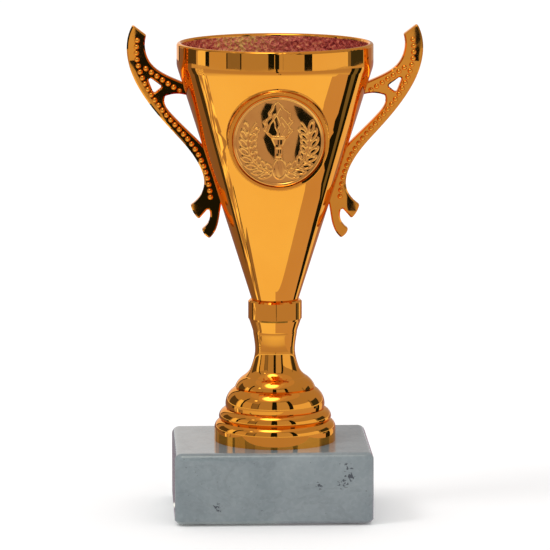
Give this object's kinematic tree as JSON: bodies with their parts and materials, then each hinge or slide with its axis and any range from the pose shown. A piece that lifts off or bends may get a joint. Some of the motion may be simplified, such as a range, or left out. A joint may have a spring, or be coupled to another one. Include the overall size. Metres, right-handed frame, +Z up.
{
  "type": "cup trophy",
  "caption": "Small award cup with two beaded handles and a round medallion, on a ringed foot bolted to a marble block.",
  "frame": {"origin": "where the cup's axis meets the surface that the pads stand on", "axes": "+Z up along the cup's axis, +X through the right handle, -Y towards the medallion"},
  "size_m": [0.081, 0.0538, 0.1348],
  "materials": {
    "bronze_lacquer": "vacuum-metallised, orange bronze lacquer",
    "marble": "polished grey marble",
    "pressed_disc": "embossed and anodised",
    "foam_tape": "foam",
    "felt": "felt",
    "zinc_steel": "zinc plated"
  },
  "bodies": {
    "root": {"marble_base": "marble", "base_pads": "felt", "stem_foot": "bronze_lacquer", "cup_shell": "bronze_lacquer", "handle_right": "bronze_lacquer", "handle_left": "bronze_lacquer", "centre_disc": "pressed_disc", "disc_adhesive": "foam_tape", "tie_rod": "zinc_steel", "cup_washer": "zinc_steel", "cup_nut": "zinc_steel", "base_washer": "zinc_steel", "base_nut": "zinc_steel"}
  },
  "joints": []
}
